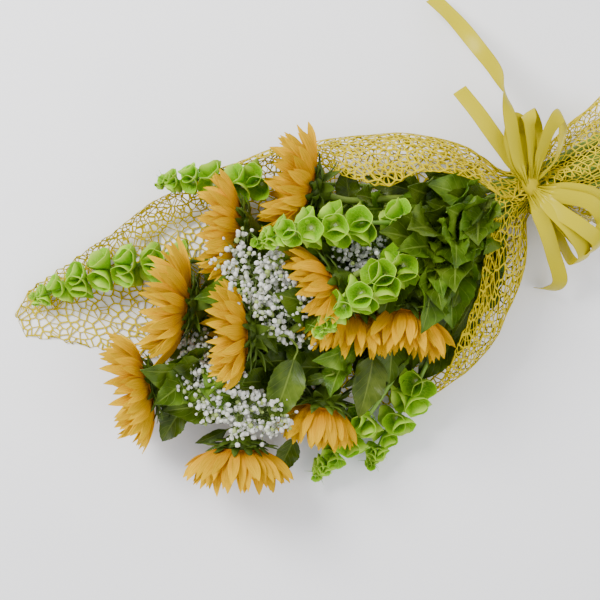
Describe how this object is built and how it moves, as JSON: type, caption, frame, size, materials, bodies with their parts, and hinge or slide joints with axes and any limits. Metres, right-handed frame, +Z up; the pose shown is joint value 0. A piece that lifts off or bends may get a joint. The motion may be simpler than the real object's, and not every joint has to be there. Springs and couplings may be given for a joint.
{
  "type": "bunch of sunflowers",
  "caption": "Hand-tied bunch of sunflowers with bells of Ireland, baby's breath and leaves, in open web netting tied with a satin ribbon bow, lying on its side.",
  "frame": {"origin": "on the floor under the middle of the bounding box", "axes": "+X runs along the bunch from the blooms to the cut ends, +Z is up from the surface that the bunch lies on, +Y completes the right-handed set"},
  "size_m": [0.8323, 0.5216, 0.2113],
  "materials": {
    "net": "bright yellow open web netting, fused strands, slight sheen",
    "ribbon": "yellow satin ribbon, bright highlights along the folds",
    "petal": "fresh ray petals, golden yellow, orange at the base, fine lengthwise ridges",
    "disc": "dark brown flower centre of packed florets",
    "leaf": "green leaves, bracts and stems, pale veins, soft gloss",
    "bells": "lime green calyx cups with paler rims, thin and veined",
    "breath": "tiny white double flowers on fine green stalks"
  },
  "bodies": {
    "root": {"babys_breath_1": "breath", "babys_breath_2": "breath", "babys_breath_3": "breath", "bells_of_ireland_1": "bells", "bells_of_ireland_2": "bells", "bells_of_ireland_3": "bells", "bells_of_ireland_4": "bells", "bells_of_ireland_5": "bells", "bells_of_ireland_6": "bells", "net_wrap": "net", "ribbon_bow": "ribbon", "sunflower_10_disc": "disc", "sunflower_10_petals": "petal", "sunflower_10_stem": "leaf", "sunflower_1_disc": "disc", "sunflower_1_petals": "petal", "sunflower_1_stem": "leaf", "sunflower_2_disc": "disc", "sunflower_2_petals": "petal", "sunflower_2_stem": "leaf", "sunflower_3_disc": "disc", "sunflower_3_petals": "petal", "sunflower_3_stem": "leaf", "sunflower_4_disc": "disc", "sunflower_4_petals": "petal", "sunflower_4_stem": "leaf", "sunflower_5_disc": "disc", "sunflower_5_petals": "petal", "sunflower_5_stem": "leaf", "sunflower_6_disc": "disc", "sunflower_6_petals": "petal", "sunflower_6_stem": "leaf", "sunflower_7_disc": "disc", "sunflower_7_petals": "petal", "sunflower_7_stem": "leaf", "sunflower_8_disc": "disc", "sunflower_8_petals": "petal", "sunflower_8_stem": "leaf", "sunflower_9_disc": "disc", "sunflower_9_petals": "petal", "sunflower_9_stem": "leaf"}
  },
  "joints": []
}
